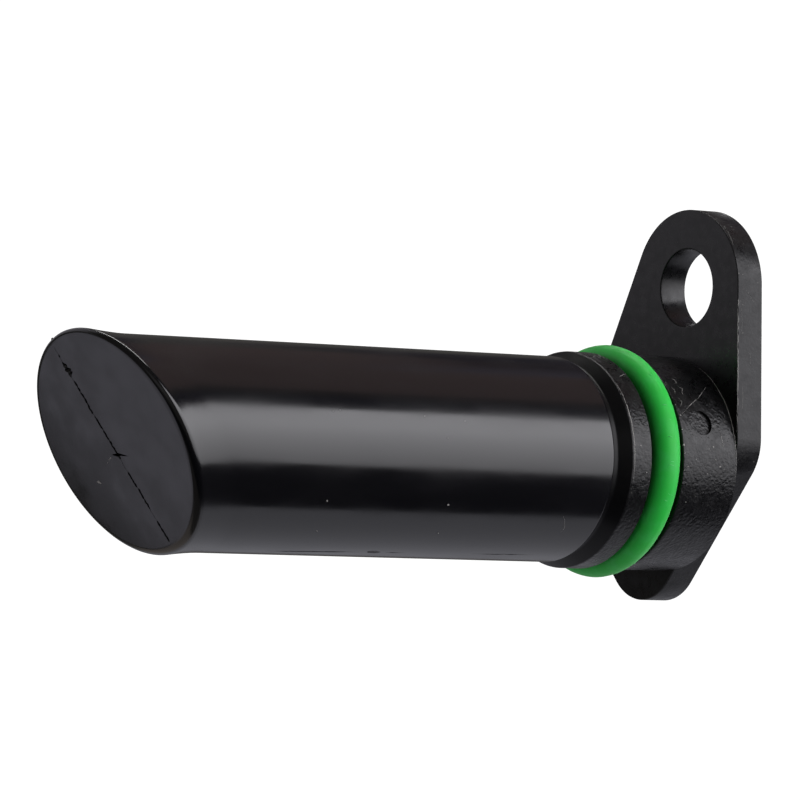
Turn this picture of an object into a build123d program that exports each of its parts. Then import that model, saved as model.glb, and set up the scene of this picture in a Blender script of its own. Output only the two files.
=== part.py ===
"""Camshaft position sensor: a glossy barrel with an obliquely closed tip, sealed by an O-ring
and bolted down by a flat flange. Hall element, magnet and lead frame sit inside.

Frame: millimetres. The origin is where the barrel axis meets the flange's mating face.
The barrel runs along X with its tip towards -X, and the bolt lobe stands up towards +Z.
"""

import math
import os

from build123d import *

os.makedirs("parts", exist_ok=True)

# Barrel sleeve
BARREL_RADIUS = 9.0
BARREL_WALL = 1.2
BARREL_OPEN_X = -13.4
BARREL_OPEN_ROUND = 0.4
TIP_X = -60.25
TIP_SLANT = 25.3
TIP_TURN = 7.0
LIP_RADIUS = 9.27
LIP_LENGTH = 2.8
TIP_RIM_ROUND = 0.75

# Seal gland of the flange housing
LAND_RADIUS = 9.5
NECK_RADIUS = 8.6
NECK_LENGTH = 0.5
LAND_FRONT_X = -11.88
LAND_REAR_X = -9.7
COLLAR_FRONT_X = -6.13
SPIGOT_END_X = -20.0
SPIGOT_CHAMFER = 0.6

# O-ring
RING_SECTION_RADIUS = 1.25
RING_CENTRE_RADIUS = 8.97
RING_X = -7.83

# Flange plate, as places (Y, Z) and radii of the round corners that its outline wraps
PLATE_THICKNESS = 2.8
BOLT_EYE = (-2.67, 15.51)
BOLT_EYE_RADIUS = 6.93
BOLT_HOLE_RADIUS = 3.45
NEAR_EDGE_Y = -9.6
NEAR_CORNER_RADIUS = 5.0
NEAR_CORNER = (NEAR_EDGE_Y + NEAR_CORNER_RADIUS, 2.1)
LOWER_LOBE = (3.11, -7.48)
LOWER_LOBE_RADIUS = 4.59
FAR_CORNER = (6.0, -0.4)
FAR_CORNER_RADIUS = 6.7
PLATE_REAR_ROUND = 0.5

# Ejector pin witness mark on the collar
MARK_RADIUS = 1.15
MARK_DEPTH = 0.3
MARK_X = -3.6
MARK_ANGLE = 20.0

# Elbow and connector shroud behind the plate
SHROUD_X = 8.6
SHROUD_Z = 2.0
SHROUD_WIDTH = 10.5
SHROUD_HEIGHT = 12.0
SHROUD_WALL = 1.3
SHROUD_CORNER = 2.4
ELBOW_AXIS_Y = 10.5
ROOT_WEB_END_Y = 12.2
ROOT_WEB_HEIGHT = 7.2
SHROUD_FLOOR_Y = 17.0
SHROUD_MOUTH_Y = 30.0
SHROUD_LEAD_IN = 0.4
STOP_BEAD_Y = 15.4
STOP_BEAD_LENGTH = 1.4
STOP_BEAD_HEIGHT = 0.7
LATCH_WIDTH = 4.0
LATCH_HEIGHT = 1.4
LATCH_LOW_Y = 27.4
LATCH_HIGH_Y = 23.4
GUIDE_RIB_THICKNESS = 1.0
GUIDE_RIB_HEIGHT = 1.0
GUIDE_RIB_SPACING = 7.0
KEY_RIB_THICKNESS = 1.2
KEY_RIB_HEIGHT = 0.8
KEY_RIB_SPACING = 4.6

# Lead frame: three stamped terminals side by side along Z
TERMINAL_PITCH = 3.0
BLADE_WIDTH = 1.5
BLADE_THICKNESS = 0.64
BLADE_END_Y = 24.0
BLADE_TIP_CHAMFER = 0.22
RAIL_Y = -2.9
RAIL_BEND_X = -1.0
RAIL_RISE_END_Y = 9.5
RAIL_BEND_RADIUS = 1.6
RAIL_FORK_X = -43.0
RAIL_JOG_LENGTH = 2.4
RAIL_END_X = -47.0
RAIL_TAB_WIDTH = 1.0
LEAD_PITCH = 1.3

# Sensing element at the tip
IC_FACE_X = -57.4
IC_THICKNESS = 1.5
IC_WIDTH = 4.1
IC_HEIGHT = 3.4
IC_CHAMFER = 0.35
LEAD_WIDTH = 0.45
LEAD_THICKNESS = 0.4
LEAD_BEND_RADIUS = 0.6
LEAD_END_X = -45.8
MAGNET_RADIUS = 2.3
MAGNET_LENGTH = 4.0
MAGNET_CHAMFER = 0.25
POLE_THICKNESS = 1.0

# Carrier moulding and the two chip capacitors on its lead frame
CARRIER_TANG_END_X = -14.6
CARRIER_TANG_HEIGHT = 5.0
CARRIER_TANG_DEPTH = 4.0
CARRIER_CORE_SIZE = (4.0, 7.0)
CARRIER_CORE_DEPTH = 3.4
CARRIER_CORE_PITCH = 6.0
CARRIER_CORE_COUNT = 4
CARRIER_CORE_MIDDLE_X = -32.0
CAPACITOR_X = -31.0
CAPACITOR_LENGTH = 3.0
CAPACITOR_WIDTH = 1.6
CAPACITOR_HEIGHT = 1.3
CAPACITOR_ROUND = 0.15

# Values that follow from the ones above
BORE_RADIUS = BARREL_RADIUS - BARREL_WALL
GROOVE_RADIUS = RING_CENTRE_RADIUS - RING_SECTION_RADIUS
INNER_TIP_X = TIP_X + BARREL_WALL / math.cos(math.radians(TIP_SLANT))
SHROUD_FRONT_X = SHROUD_X - SHROUD_WIDTH / 2
SHROUD_REAR_X = SHROUD_X + SHROUD_WIDTH / 2
RAIL_FACE_Y = RAIL_Y + BLADE_THICKNESS / 2
RAIL_OUTER_Y = RAIL_Y - BLADE_THICKNESS / 2
LEAD_Y = RAIL_OUTER_Y - LEAD_THICKNESS / 2
MAGNET_FRONT_X = IC_FACE_X + IC_THICKNESS
POLE_FRONT_X = MAGNET_FRONT_X + MAGNET_LENGTH
POLE_REAR_X = POLE_FRONT_X + POLE_THICKNESS
TERMINAL_ROWS = {"supply": 1, "signal": 0, "ground": -1}


def slant_plane(axis_x):
    """Plane of the oblique tip, placed where it crosses the barrel axis; its X runs up the slope."""
    slant = math.radians(TIP_SLANT)
    turn = math.radians(TIP_TURN)
    rise = (math.sin(turn), math.cos(turn))
    up_slope = (-math.sin(slant), math.cos(slant) * rise[0], math.cos(slant) * rise[1])
    outward = (-math.cos(slant), -math.sin(slant) * rise[0], -math.sin(slant) * rise[1])
    return Plane(origin=(axis_x, 0, 0), x_dir=up_slope, z_dir=outward)


def slanted_ellipse(radius):
    """Section of a round barrel of this radius by the oblique plane, drawn in the open sketch."""
    return Ellipse(radius / math.cos(math.radians(TIP_SLANT)), radius)


def shroud_plane(y):
    """Plane across the connector shroud at this Y; its X runs away from the flange."""
    return Plane(origin=(SHROUD_X, y, SHROUD_Z), x_dir=(1, 0, 0), z_dir=(0, 1, 0))


def finish(builder, name):
    """Label one finished piece and write its STEP file."""
    builder.part.label = name
    export_step(builder.part, f"parts/{name}.step")


# Barrel sleeve: a thin cap whose closed end is cut obliquely, with a slight flare behind the rim
with BuildPart() as barrel_sleeve:
    with BuildSketch(Plane.YZ.offset(BARREL_OPEN_X)):
        Circle(BARREL_RADIUS)
    extrude(amount=TIP_X - BARREL_RADIUS - BARREL_OPEN_X)
    split(bisect_by=slant_plane(TIP_X + LIP_LENGTH), keep=Keep.BOTTOM)
    with BuildSketch(slant_plane(TIP_X + LIP_LENGTH)):
        slanted_ellipse(BARREL_RADIUS)
    with BuildSketch(slant_plane(TIP_X)):
        slanted_ellipse(LIP_RADIUS)
    loft()
    tip_face = faces().sort_by(Axis.X)[0]
    fillet(tip_face.edges(), TIP_RIM_ROUND)
    open_face = faces().sort_by(Axis.X)[-1]
    fillet(open_face.edges(), BARREL_OPEN_ROUND)
    with BuildPart(mode=Mode.PRIVATE) as barrel_bore:
        with BuildSketch(Plane.YZ.offset(BARREL_OPEN_X)):
            Circle(BORE_RADIUS)
        extrude(amount=TIP_X - BARREL_RADIUS - BARREL_OPEN_X)
        split(bisect_by=slant_plane(INNER_TIP_X), keep=Keep.BOTTOM)
    add(barrel_bore.part, mode=Mode.SUBTRACT)
finish(barrel_sleeve, "barrel_sleeve")

# O-ring in the gland groove
with BuildPart() as o_ring:
    with BuildSketch(Plane.XY):
        with Locations((RING_X, RING_CENTRE_RADIUS)):
            Circle(RING_SECTION_RADIUS)
    revolve(axis=Axis.X)
finish(o_ring, "o_ring")

# Hall element package, its face towards the tip
with BuildPart() as hall_ic:
    with BuildSketch(Plane.YZ.offset(MAGNET_FRONT_X)):
        Rectangle(IC_HEIGHT, IC_WIDTH)
    extrude(amount=-IC_THICKNESS)
    front_edges = edges().group_by(Axis.X)[0]
    chamfer(front_edges.filter_by(Axis.Y), IC_CHAMFER)
finish(hall_ic, "hall_ic")

# Bias magnet behind the element, with its pole disc
with BuildPart() as bias_magnet:
    with BuildSketch(Plane.YZ.offset(MAGNET_FRONT_X)):
        Circle(MAGNET_RADIUS)
    extrude(amount=MAGNET_LENGTH)
    chamfer(edges().filter_by(GeomType.CIRCLE), MAGNET_CHAMFER)
finish(bias_magnet, "bias_magnet")

with BuildPart() as pole_disc:
    with BuildSketch(Plane.YZ.offset(POLE_FRONT_X)):
        Circle(MAGNET_RADIUS)
    extrude(amount=POLE_THICKNESS)
finish(pole_disc, "pole_disc")


def hall_lead(row):
    """One lead: down out of the element, bent, and back onto the weld tab of its rail."""
    lead_x = MAGNET_FRONT_X - IC_THICKNESS / 2
    with BuildPart() as lead:
        with BuildSketch(Plane.XY.offset(row * LEAD_PITCH - LEAD_WIDTH / 2)):
            with BuildLine():
                start = (lead_x, -IC_HEIGHT / 2)
                corner = (lead_x, LEAD_Y)
                FilletPolyline(start, corner, (LEAD_END_X, LEAD_Y), radius=LEAD_BEND_RADIUS)
            trace(line_width=LEAD_THICKNESS)
        extrude(amount=LEAD_WIDTH)
    return lead


def stamped_terminal(row):
    """One terminal: blade in the shroud, strip bent through the elbow, rail and weld tab."""
    blade_z = SHROUD_Z + row * TERMINAL_PITCH
    tab_z = row * LEAD_PITCH
    with BuildPart() as terminal:
        with BuildSketch(Plane.XY.offset(blade_z - BLADE_WIDTH / 2)):
            with BuildLine():
                FilletPolyline(
                    (RAIL_FORK_X, RAIL_Y),
                    (RAIL_BEND_X, RAIL_Y),
                    (SHROUD_X, RAIL_RISE_END_Y),
                    (SHROUD_X, BLADE_END_Y),
                    radius=RAIL_BEND_RADIUS,
                )
            trace(line_width=BLADE_THICKNESS)
        extrude(amount=BLADE_WIDTH)
        blade_end = faces().sort_by(Axis.Y)[-1]
        chamfer(blade_end.edges(), BLADE_TIP_CHAMFER)
        with BuildSketch(Plane.XZ.offset(-RAIL_FACE_Y)):
            with BuildLine():
                jog_x = RAIL_FORK_X - RAIL_JOG_LENGTH
                Polyline(
                    (RAIL_FORK_X, blade_z + BLADE_WIDTH / 2),
                    (jog_x, tab_z + RAIL_TAB_WIDTH / 2),
                    (RAIL_END_X, tab_z + RAIL_TAB_WIDTH / 2),
                    (RAIL_END_X, tab_z - RAIL_TAB_WIDTH / 2),
                    (jog_x, tab_z - RAIL_TAB_WIDTH / 2),
                    (RAIL_FORK_X, blade_z - BLADE_WIDTH / 2),
                    close=True,
                )
            make_face()
        extrude(amount=BLADE_THICKNESS)
    return terminal


terminals = {}
for wire, row in TERMINAL_ROWS.items():
    terminals[wire] = stamped_terminal(row)
    finish(terminals[wire], f"terminal_{wire}")
    finish(hall_lead(row), f"hall_lead_{wire}")


def chip_capacitor(side):
    """One chip capacitor that bridges the signal rail and the rail on this side of it."""
    middle_z = SHROUD_Z + side * TERMINAL_PITCH / 2
    with BuildPart() as capacitor:
        with BuildSketch(Plane.XZ.offset(-RAIL_OUTER_Y)):
            with Locations((CAPACITOR_X, middle_z)):
                Rectangle(CAPACITOR_WIDTH, CAPACITOR_LENGTH - CAPACITOR_ROUND)
        extrude(amount=CAPACITOR_HEIGHT)
        fillet(edges().filter_by(Axis.Y), CAPACITOR_ROUND)
    return capacitor


finish(chip_capacitor(1), "capacitor_supply")
finish(chip_capacitor(-1), "capacitor_ground")

# Element carrier: a D-shaped moulding that fills the far half of the bore and holds the rest
with BuildPart() as element_carrier:
    with BuildSketch(Plane.YZ.offset(SPIGOT_END_X)):
        Circle(BORE_RADIUS)
        with Locations((RAIL_FACE_Y, 0)):
            Rectangle(
                2 * BORE_RADIUS,
                2 * BORE_RADIUS,
                align=(Align.MIN, Align.CENTER),
                mode=Mode.INTERSECT,
            )
    extrude(amount=IC_FACE_X - SPIGOT_END_X)
    split(bisect_by=slant_plane(INNER_TIP_X), keep=Keep.BOTTOM)
    with BuildSketch(Plane.YZ.offset(SPIGOT_END_X)):
        with Locations((RAIL_FACE_Y, SHROUD_Z)):
            Rectangle(CARRIER_TANG_DEPTH, CARRIER_TANG_HEIGHT, align=(Align.MIN, Align.CENTER))
    extrude(amount=CARRIER_TANG_END_X - SPIGOT_END_X)
    # seat of the element and pocket of the magnet, both open towards the lead frame
    with BuildSketch(Plane.YZ.offset(MAGNET_FRONT_X)):
        with Locations((IC_HEIGHT / 2, 0)):
            Rectangle(2 * BORE_RADIUS, IC_WIDTH, align=(Align.MAX, Align.CENTER))
    extrude(amount=-IC_THICKNESS, mode=Mode.SUBTRACT)
    with BuildSketch(Plane.YZ.offset(POLE_REAR_X)):
        Circle(MAGNET_RADIUS)
        Rectangle(2 * BORE_RADIUS, 2 * MAGNET_RADIUS, align=(Align.MAX, Align.CENTER))
    extrude(amount=MAGNET_FRONT_X - POLE_REAR_X, mode=Mode.SUBTRACT)
    # cored pockets in the round back keep the wall even
    with BuildSketch(Plane.XZ.offset(-BORE_RADIUS)):
        with Locations((CARRIER_CORE_MIDDLE_X, 0)):
            with GridLocations(CARRIER_CORE_PITCH, 0, CARRIER_CORE_COUNT, 1):
                Rectangle(*CARRIER_CORE_SIZE)
    extrude(amount=CARRIER_CORE_DEPTH, mode=Mode.SUBTRACT)
finish(element_carrier, "element_carrier")

# Flange housing: spigot, seal gland, flange plate, elbow and connector shroud in one moulding
with BuildPart() as flange_housing:
    with BuildSketch(Plane.YZ):
        with Locations(BOLT_EYE):
            Circle(BOLT_EYE_RADIUS)
        with Locations(NEAR_CORNER):
            Circle(NEAR_CORNER_RADIUS)
        with Locations(LOWER_LOBE):
            Circle(LOWER_LOBE_RADIUS)
        with Locations(FAR_CORNER):
            Circle(FAR_CORNER_RADIUS)
        make_hull()
        with Locations(BOLT_EYE):
            Circle(BOLT_HOLE_RADIUS, mode=Mode.SUBTRACT)
    extrude(amount=PLATE_THICKNESS)
    plate_rear = faces().sort_by(Axis.X)[-1]
    fillet(plate_rear.outer_wire().edges(), PLATE_REAR_ROUND)
    with BuildSketch(Plane.XY):
        with BuildLine():
            Polyline(
                (SPIGOT_END_X, 0),
                (SPIGOT_END_X, BORE_RADIUS - SPIGOT_CHAMFER),
                (SPIGOT_END_X + SPIGOT_CHAMFER, BORE_RADIUS),
                (BARREL_OPEN_X, BORE_RADIUS),
                (BARREL_OPEN_X, NECK_RADIUS),
                (BARREL_OPEN_X + NECK_LENGTH, NECK_RADIUS),
                (LAND_FRONT_X, LAND_RADIUS),
                (LAND_REAR_X, LAND_RADIUS),
                (LAND_REAR_X, GROOVE_RADIUS),
                (COLLAR_FRONT_X, GROOVE_RADIUS),
                (COLLAR_FRONT_X, LAND_RADIUS),
                (0, LAND_RADIUS),
                (0, 0),
                close=True,
            )
        make_face()
    revolve(axis=Axis.X)
    mark_angle = math.radians(MARK_ANGLE)
    mark_outward = (0, -math.cos(mark_angle), math.sin(mark_angle))
    mark_plane = Plane(origin=(MARK_X, 0, 0), x_dir=(1, 0, 0), z_dir=mark_outward)
    with BuildSketch(mark_plane.offset(LAND_RADIUS - MARK_DEPTH)):
        Circle(MARK_RADIUS)
    extrude(amount=2 * MARK_DEPTH, mode=Mode.SUBTRACT)
    # elbow: the shroud's section turned through a right angle onto the back of the plate
    with BuildSketch(shroud_plane(ELBOW_AXIS_Y)):
        RectangleRounded(SHROUD_WIDTH, SHROUD_HEIGHT, SHROUD_CORNER)
    elbow_axis = Axis((PLATE_THICKNESS, ELBOW_AXIS_Y, 0), (0, 0, -1))
    revolve(axis=elbow_axis, revolution_arc=90)
    with BuildSketch(shroud_plane(ELBOW_AXIS_Y)):
        RectangleRounded(SHROUD_WIDTH, SHROUD_HEIGHT, SHROUD_CORNER)
    extrude(amount=SHROUD_MOUTH_Y - ELBOW_AXIS_Y)
    # web that ties the shroud's root to the back of the plate
    root_web_start_y = ELBOW_AXIS_Y - SHROUD_WALL
    with BuildSketch(shroud_plane(root_web_start_y)):
        with Locations((PLATE_THICKNESS - SHROUD_X, 0)):
            Rectangle(
                SHROUD_FRONT_X - PLATE_THICKNESS + SHROUD_WALL,
                ROOT_WEB_HEIGHT,
                align=(Align.MIN, Align.CENTER),
            )
    extrude(amount=ROOT_WEB_END_Y - root_web_start_y)
    with BuildSketch(shroud_plane(STOP_BEAD_Y)):
        RectangleRounded(
            SHROUD_WIDTH + 2 * STOP_BEAD_HEIGHT,
            SHROUD_HEIGHT + 2 * STOP_BEAD_HEIGHT,
            SHROUD_CORNER + STOP_BEAD_HEIGHT,
        )
    extrude(amount=STOP_BEAD_LENGTH)
    # latch ramp on the rear wall between its two guide ribs
    with BuildSketch(Plane.XY.offset(SHROUD_Z - LATCH_WIDTH / 2)):
        with BuildLine():
            Polyline(
                (SHROUD_REAR_X, LATCH_LOW_Y),
                (SHROUD_REAR_X + LATCH_HEIGHT, LATCH_HIGH_Y + LATCH_HEIGHT / 2),
                (SHROUD_REAR_X + LATCH_HEIGHT, LATCH_HIGH_Y),
                (SHROUD_REAR_X, LATCH_HIGH_Y),
                close=True,
            )
        make_face()
    extrude(amount=LATCH_WIDTH)
    rib_start_y = STOP_BEAD_Y + STOP_BEAD_LENGTH
    with BuildSketch(shroud_plane(rib_start_y)):
        with Locations((SHROUD_WIDTH / 2, 0)):
            with GridLocations(0, GUIDE_RIB_SPACING, 1, 2):
                Rectangle(2 * GUIDE_RIB_HEIGHT, GUIDE_RIB_THICKNESS)
        with Locations((-SHROUD_WIDTH / 2, 0)):
            with GridLocations(0, KEY_RIB_SPACING, 1, 2):
                Rectangle(2 * KEY_RIB_HEIGHT, KEY_RIB_THICKNESS)
    extrude(amount=SHROUD_MOUTH_Y - rib_start_y)
    with BuildSketch(shroud_plane(SHROUD_FLOOR_Y)):
        RectangleRounded(
            SHROUD_WIDTH - 2 * SHROUD_WALL,
            SHROUD_HEIGHT - 2 * SHROUD_WALL,
            SHROUD_CORNER - SHROUD_WALL,
        )
    extrude(amount=SHROUD_MOUTH_Y - SHROUD_FLOOR_Y, mode=Mode.SUBTRACT)
    mouth = faces().sort_by(Axis.Y)[-1]
    chamfer(mouth.inner_wires().edges(), SHROUD_LEAD_IN)
    add(element_carrier.part, mode=Mode.SUBTRACT)
    for terminal in terminals.values():
        add(terminal.part, mode=Mode.SUBTRACT)
finish(flange_housing, "flange_housing")
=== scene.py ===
"""Looks of a camshaft position sensor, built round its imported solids.

A glossy black barrel with an obliquely closed tip is joined to a matte black flange housing. The
housing carries a green sealing ring, a flat plate with one bolt eye and, behind the plate, a
right-angle plug socket. Shapes are modelled in millimetres in the frame's axes and turned to
metres when a piece is finished.
"""

import logging
import math
from collections.abc import Callable, Iterable
from dataclasses import dataclass
from enum import Enum

import bmesh
import bpy
from mathutils import Matrix, Vector, noise


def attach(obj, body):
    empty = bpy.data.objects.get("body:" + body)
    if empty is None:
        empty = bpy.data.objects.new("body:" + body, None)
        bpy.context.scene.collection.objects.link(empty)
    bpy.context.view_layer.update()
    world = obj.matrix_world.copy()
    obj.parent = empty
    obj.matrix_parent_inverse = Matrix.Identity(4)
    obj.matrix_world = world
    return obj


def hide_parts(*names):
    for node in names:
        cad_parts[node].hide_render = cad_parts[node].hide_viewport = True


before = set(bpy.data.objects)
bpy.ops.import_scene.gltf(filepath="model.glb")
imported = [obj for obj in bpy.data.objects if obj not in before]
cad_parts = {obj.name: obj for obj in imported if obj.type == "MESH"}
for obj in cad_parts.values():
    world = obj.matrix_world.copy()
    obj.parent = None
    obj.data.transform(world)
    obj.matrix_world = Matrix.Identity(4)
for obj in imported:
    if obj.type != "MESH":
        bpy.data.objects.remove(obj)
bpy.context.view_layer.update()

MM = 0.001
BODY = "root"
LOG = logging.getLogger("sensor")

Shape = bmesh.types.BMesh
Piece = bpy.types.Object
Material = bpy.types.Material
Tree = bpy.types.NodeTree
Node = bpy.types.Node
Socket = bpy.types.NodeSocket
Vert = bmesh.types.BMVert
Edge = bmesh.types.BMEdge
Face = bmesh.types.BMFace

# nearly all of a noise lies in this span
NOISE_SPAN = (0.3, 0.7)


class Slot(Enum):
    """The record's material slots that the drawn pieces take."""

    GLOSS = "gloss_black_plastic"
    MATTE = "matte_black_plastic"
    RUBBER = "green_rubber"


def linear(hex_colour: str) -> tuple[float, float, float, float]:
    """Turns an sRGB hex colour to the linear colour that the shaders take.

    Args:
        hex_colour: a colour such as "#1c1c1e".

    Returns:
        Red, green, blue and an alpha of one.
    """
    shares = [int(hex_colour[place:place + 2], 16) / 255 for place in (1, 3, 5)]
    red, green, blue = (s / 12.92 if s <= 0.04045 else ((s + 0.055) / 1.055) ** 2.4 for s in shares)
    return red, green, blue, 1.0


def add_node(tree: Tree, kind: str, inputs: dict | None = None, **settings: object) -> Node:
    """Adds one node, sets it up and fills or links its inputs.

    Args:
        tree: the node tree that takes the node.
        kind: the node's type name.
        inputs: a value or an output socket for each named or numbered input.
        settings: the node's own properties.

    Returns:
        The new node.
    """
    node = tree.nodes.new(kind)
    for name, value in settings.items():
        setattr(node, name, value)
    for name, value in (inputs or {}).items():
        if isinstance(value, Socket):
            tree.links.new(value, node.inputs[name])
        else:
            node.inputs[name].default_value = value
    return node


def new_material(name: str) -> tuple[Material, Tree]:
    """Starts a material with an empty node tree.

    Args:
        name: the material's name.

    Returns:
        The material and its tree.
    """
    made = bpy.data.materials.new(name)
    made.use_nodes = True
    made.node_tree.nodes.clear()
    return made, made.node_tree


@dataclass(frozen=True)
class Finish:
    """A plain finish; its children add the pattern that the surface shows."""

    name: str
    colour: str
    roughness: float
    ior: float = 1.5
    metallic: float = 0.0

    def material(self) -> Material:
        """Returns the finish as a material, made once.

        Returns:
            The material.
        """
        made = bpy.data.materials.get(self.name)
        if made is not None:
            return made
        made, tree = new_material(self.name)
        shader = add_node(tree, "ShaderNodeBsdfPrincipled", {
            "Base Color": linear(self.colour),
            "Roughness": self.roughness,
            "IOR": self.ior,
            "Metallic": self.metallic,
        })
        add_node(tree, "ShaderNodeOutputMaterial", {"Surface": shader.outputs["BSDF"]})
        place = add_node(tree, "ShaderNodeTexCoord")
        self.pattern(tree, shader, place.outputs["Object"])
        return made

    def pattern(self, tree: Tree, shader: Node, place: Socket) -> None:
        """Adds the finish's pattern; a plain finish has none."""


def grain(
    tree: Tree, place: Socket, size_mm: float,
    stretch: tuple[float, float, float] = (1.0, 1.0, 1.0), detail: float = 2.0,
) -> Socket:
    """Adds a noise whose blobs have a real size.

    Args:
        tree: the node tree.
        place: the coordinates, in metres.
        size_mm: the size of one blob.
        stretch: how much longer the blobs are along X, Y and Z.
        detail: octaves of finer noise.

    Returns:
        The noise, from 0 to 1.
    """
    drawn = add_node(tree, "ShaderNodeMapping", {
        "Vector": place, "Scale": tuple(1.0 / s for s in stretch),
    })
    field = add_node(tree, "ShaderNodeTexNoise", {
        "Vector": drawn.outputs["Vector"], "Scale": 1.0 / (size_mm * MM), "Detail": detail,
    })
    return field.outputs["Fac"]


def remap(
    tree: Tree, value: Socket,
    source: tuple[float, float], target: tuple[float, float],
) -> Socket:
    """Maps one span of a value to another and holds it at the ends.

    Args:
        tree: the node tree.
        value: what is mapped.
        source: the span it comes from.
        target: the span it goes to.

    Returns:
        The mapped value.
    """
    mapped = add_node(tree, "ShaderNodeMapRange", {
        "Value": value, "From Min": source[0], "From Max": source[1],
        "To Min": target[0], "To Max": target[1],
    })
    return mapped.outputs["Result"]


def bump(tree: Tree, shader: Node, *layers: tuple[Socket, float]) -> None:
    """Bumps a shader's normal by one field on top of another.

    Args:
        tree: the node tree.
        shader: the shader.
        layers: each field and its height in millimetres.
    """
    below = {}
    for height, height_mm in layers:
        bumped = add_node(tree, "ShaderNodeBump", {"Height": height, "Distance": height_mm * MM, **below})
        below = {"Normal": bumped.outputs["Normal"]}
    tree.links.new(below["Normal"], shader.inputs["Normal"])


def vary_gloss(tree: Tree, shader: Node, field: Socket, least: float, most: float) -> None:
    """Lets a shader's roughness follow a noise from the least to the most."""
    tree.links.new(remap(tree, field, NOISE_SPAN, (least, most)), shader.inputs["Roughness"])


def vary_colour(tree: Tree, shader: Node, share: Socket, base: str, other: str) -> None:
    """Blends a shader's colour between two sRGB colours.

    Args:
        tree: the node tree.
        shader: the shader.
        share: how much of the other colour there is.
        base: the colour at a share of nought.
        other: the colour at a share of one.
    """
    tint = add_node(tree, "ShaderNodeMix", {
        "Factor": share, "A": linear(base), "B": linear(other),
    }, data_type="RGBA")
    colours = [socket for socket in tint.outputs if socket.type == "RGBA"]
    tree.links.new(colours[0], shader.inputs["Base Color"])


@dataclass(frozen=True)
class PolishedNylon(Finish):
    """Black nylon moulded against a polished steel core: deep gloss with slow waves of shrinkage.

    The eye sees clean bands of reflected light whose edges waver a little, and a few hairlines.
    """

    name: str = "polished_moulded_black_nylon"
    colour: str = "#0a0a0c"
    roughness: float = 0.17
    ior: float = 1.53
    wave_mm: float = 5.0
    wave_height_mm: float = 0.028
    hairline_mm: float = 0.35
    hairline_height_mm: float = 0.0006
    cloud_mm: float = 2.5

    def pattern(self, tree: Tree, shader: Node, place: Socket) -> None:
        """Adds shrinkage waves, hairlines and a cloudy gloss.

        Args:
            tree: the node tree.
            shader: its shader.
            place: Object coordinates, in metres.
        """
        waves = grain(tree, place, self.wave_mm, stretch=(4.0, 1.0, 1.0), detail=1.0)
        hairlines = grain(tree, place, self.hairline_mm, stretch=(14.0, 1.0, 1.0), detail=3.0)
        bump(tree, shader, (waves, self.wave_height_mm), (hairlines, self.hairline_height_mm))
        cloud = grain(tree, place, self.cloud_mm, stretch=(3.0, 1.0, 1.0))
        vary_gloss(tree, shader, cloud, self.roughness - 0.05, self.roughness + 0.06)


@dataclass(frozen=True)
class ErodedNylon(Finish):
    """Black nylon moulded against a spark-eroded wall: a fine even grit with duller patches.

    The eye sees a soft sheen that breaks up into grains, and pale dust in the hollows.
    """

    name: str = "spark_eroded_moulded_black_nylon"
    colour: str = "#0c0c0d"
    roughness: float = 0.31
    ior: float = 1.38
    grit_mm: float = 0.3
    grit_height_mm: float = 0.062
    swell_mm: float = 1.1
    swell_height_mm: float = 0.012
    patch_mm: float = 0.9
    dust_cell_mm: float = 0.45
    dust: str = "#77756f"
    dust_share: float = 0.5

    def pattern(self, tree: Tree, shader: Node, place: Socket) -> None:
        """Adds the grit, duller patches and specks of dust.

        Args:
            tree: the node tree.
            shader: its shader.
            place: Object coordinates, in metres.
        """
        grit = grain(tree, place, self.grit_mm, detail=1.5)
        swell = grain(tree, place, self.swell_mm)
        bump(tree, shader, (swell, self.swell_height_mm), (grit, self.grit_height_mm))
        patches = grain(tree, place, self.patch_mm, detail=3.0)
        vary_gloss(tree, shader, patches, self.roughness - 0.08, self.roughness + 0.1)
        # small specks of dust, one to each cell, kept only where the patches allow
        cells = add_node(tree, "ShaderNodeTexVoronoi", {
            "Vector": place, "Scale": 1.0 / (self.dust_cell_mm * MM),
        })
        speck = remap(tree, cells.outputs["Distance"], (0.06, 0.16), (1.0, 0.0))
        where = remap(tree, patches, (0.5, 0.62), (0.0, self.dust_share))
        mask = add_node(tree, "ShaderNodeMath", {0: speck, 1: where}, operation="MULTIPLY")
        vary_colour(tree, shader, mask.outputs[0], self.colour, self.dust)


@dataclass(frozen=True)
class MouldedRubber(Finish):
    """Green moulded rubber: a satin skin with cloudy bloom, slightly paler where it is handled."""

    name: str = "moulded_green_rubber"
    colour: str = "#20bf3e"
    roughness: float = 0.52
    ior: float = 1.36
    bloom: str = "#38c557"
    bloom_mm: float = 1.6
    pebble_mm: float = 0.12
    pebble_height_mm: float = 0.004
    sheen: float = 0.12

    def pattern(self, tree: Tree, shader: Node, place: Socket) -> None:
        """Adds the bloom, a fine pebble and the faint sheen of its powdery skin.

        Args:
            tree: the node tree.
            shader: its shader.
            place: Object coordinates, in metres.
        """
        cloud = grain(tree, place, self.bloom_mm, detail=4.0)
        share = remap(tree, cloud, (0.45, 0.75), (0.0, 0.7))
        vary_colour(tree, shader, share, self.colour, self.bloom)
        bump(tree, shader, (grain(tree, place, self.pebble_mm), self.pebble_height_mm))
        shader.inputs["Sheen Weight"].default_value = self.sheen


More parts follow.
